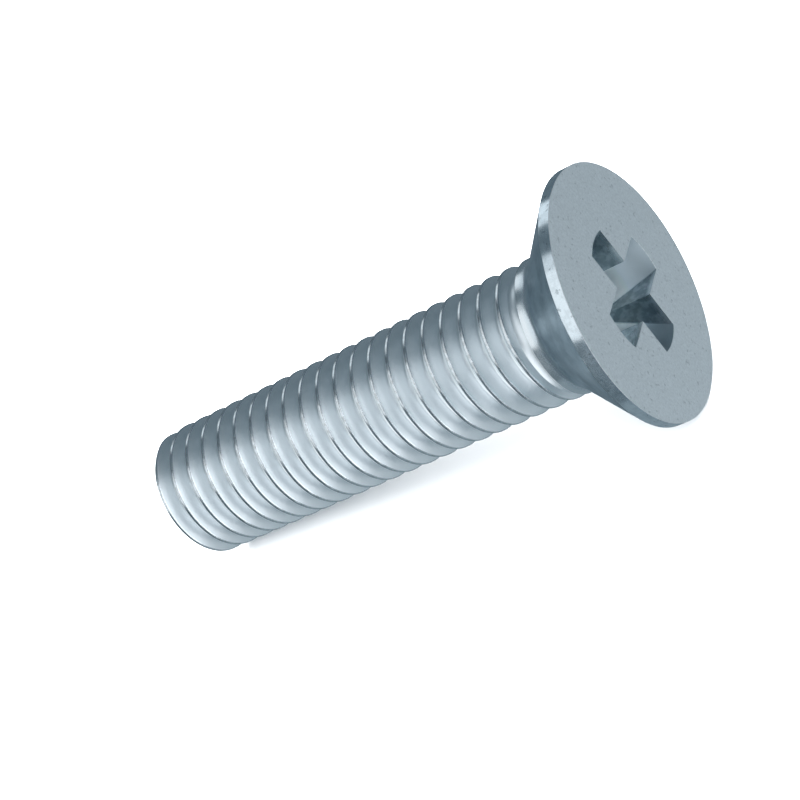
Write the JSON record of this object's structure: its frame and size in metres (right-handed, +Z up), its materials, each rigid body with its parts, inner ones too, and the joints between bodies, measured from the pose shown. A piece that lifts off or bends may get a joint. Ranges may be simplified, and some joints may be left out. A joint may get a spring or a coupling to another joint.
{
  "type": "countersunk machine screw",
  "caption": "Fully threaded machine screw with a countersunk flat head and a cross recess, for fastening a plate flush. It lies on its side.",
  "frame": {"origin": "on the floor under the middle of the screw as it lies", "axes": "+X towards the head, along the floor; +Z up; the screw's own axis rises 6.4 degrees from +X towards +Z"},
  "size_m": [0.0204, 0.0092, 0.0092],
  "materials": {
    "zinc_plate": "bright zinc plate, bluish, with a fine mottle"
  },
  "bodies": {
    "root": {"screw": "zinc_plate"}
  },
  "joints": []
}
